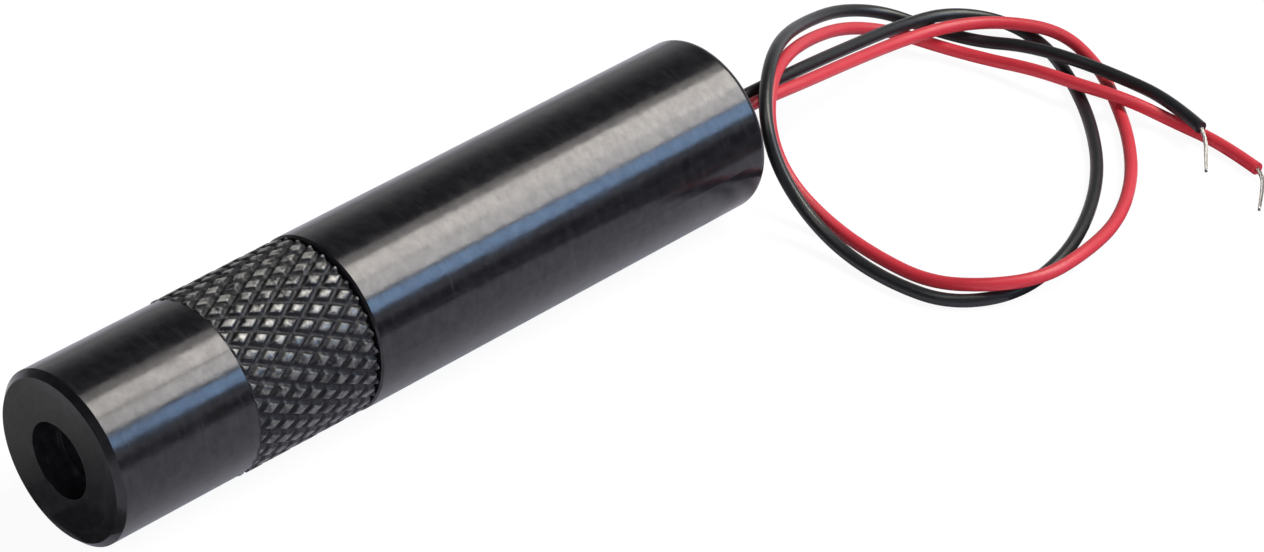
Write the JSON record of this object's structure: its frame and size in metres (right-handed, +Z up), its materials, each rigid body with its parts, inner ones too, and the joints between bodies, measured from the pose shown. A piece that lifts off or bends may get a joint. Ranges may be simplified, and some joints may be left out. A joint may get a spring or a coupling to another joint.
{
  "type": "laser diode module",
  "caption": "Cylindrical laser diode module with a knurled focusing head that screws in the barrel's front, an aperture in its face, and red and black power leads from the back.",
  "frame": {"origin": "on the surface the module lies on, under the middle of its length, the free leads not counted", "axes": "+Z up, -Y along the beam, out of the focusing head, +Y along the barrel towards its back, where the leads leave"},
  "size_m": [0.0399, 0.0999, 0.014],
  "materials": {
    "anodised": "black anodised, turned, semi-gloss",
    "lens_glass": "polished, coated",
    "steel": "plain",
    "brass": "turned",
    "gilt": "gold plated",
    "chip": "polished",
    "nickel": "nickel plated",
    "window_glass": "polished",
    "seal_glass": "fused",
    "board": "green solder mask",
    "moulded_black": "moulded",
    "moulded_yellow": "moulded",
    "chip_black": "glazed",
    "chip_tan": "fired",
    "solder": "bright solder",
    "sleeve_film": "film",
    "plug_plastic": "moulded",
    "sealing_compound": "cured, satin",
    "red_insulation": "extruded PVC",
    "black_insulation": "extruded PVC",
    "tinned_copper": "tinned strands"
  },
  "bodies": {
    "module": {"barrel": "anodised", "focus_spring": "steel", "diode_holder": "brass", "diode_base": "gilt", "diode_chip": "chip", "diode_can": "nickel", "diode_window": "window_glass", "pin_seals": "seal_glass", "diode_pins": "gilt", "diode_clamp_ring": "brass", "circuit_board": "board", "driver_ic": "moulded_black", "power_transistor": "moulded_black", "tantalum_capacitor": "moulded_yellow", "chip_resistors": "chip_black", "chip_capacitors": "chip_tan", "solder_joints": "solder", "insulating_sleeve": "sleeve_film", "rear_plug": "plug_plastic", "lead_seal": "sealing_compound", "red_lead": "red_insulation", "black_lead": "black_insulation", "red_lead_core": "tinned_copper", "black_lead_core": "tinned_copper"},
    "washer": {"thrust_washer": "steel"},
    "head": {"focus_head": "anodised", "lens": "lens_glass", "lens_retaining_ring": "anodised"}
  },
  "joints": [
    {"name": "focus_travel", "type": "slide", "parent": "module", "child": "washer", "axis": [0, -1, 0], "range_m": [-0.00015, 0.0015], "deforming": ["focus_spring"]},
    {"name": "focus_turn", "type": "hinge", "parent": "washer", "child": "head", "pos_m": [0, 0, 0.007], "axis": [0, -1, 0], "range_deg": [-109, 1081]}
  ],
  "couplings": [
    {"joint": "focus_turn", "follows": "focus_travel", "rad_per_m": 12566}
  ]
}
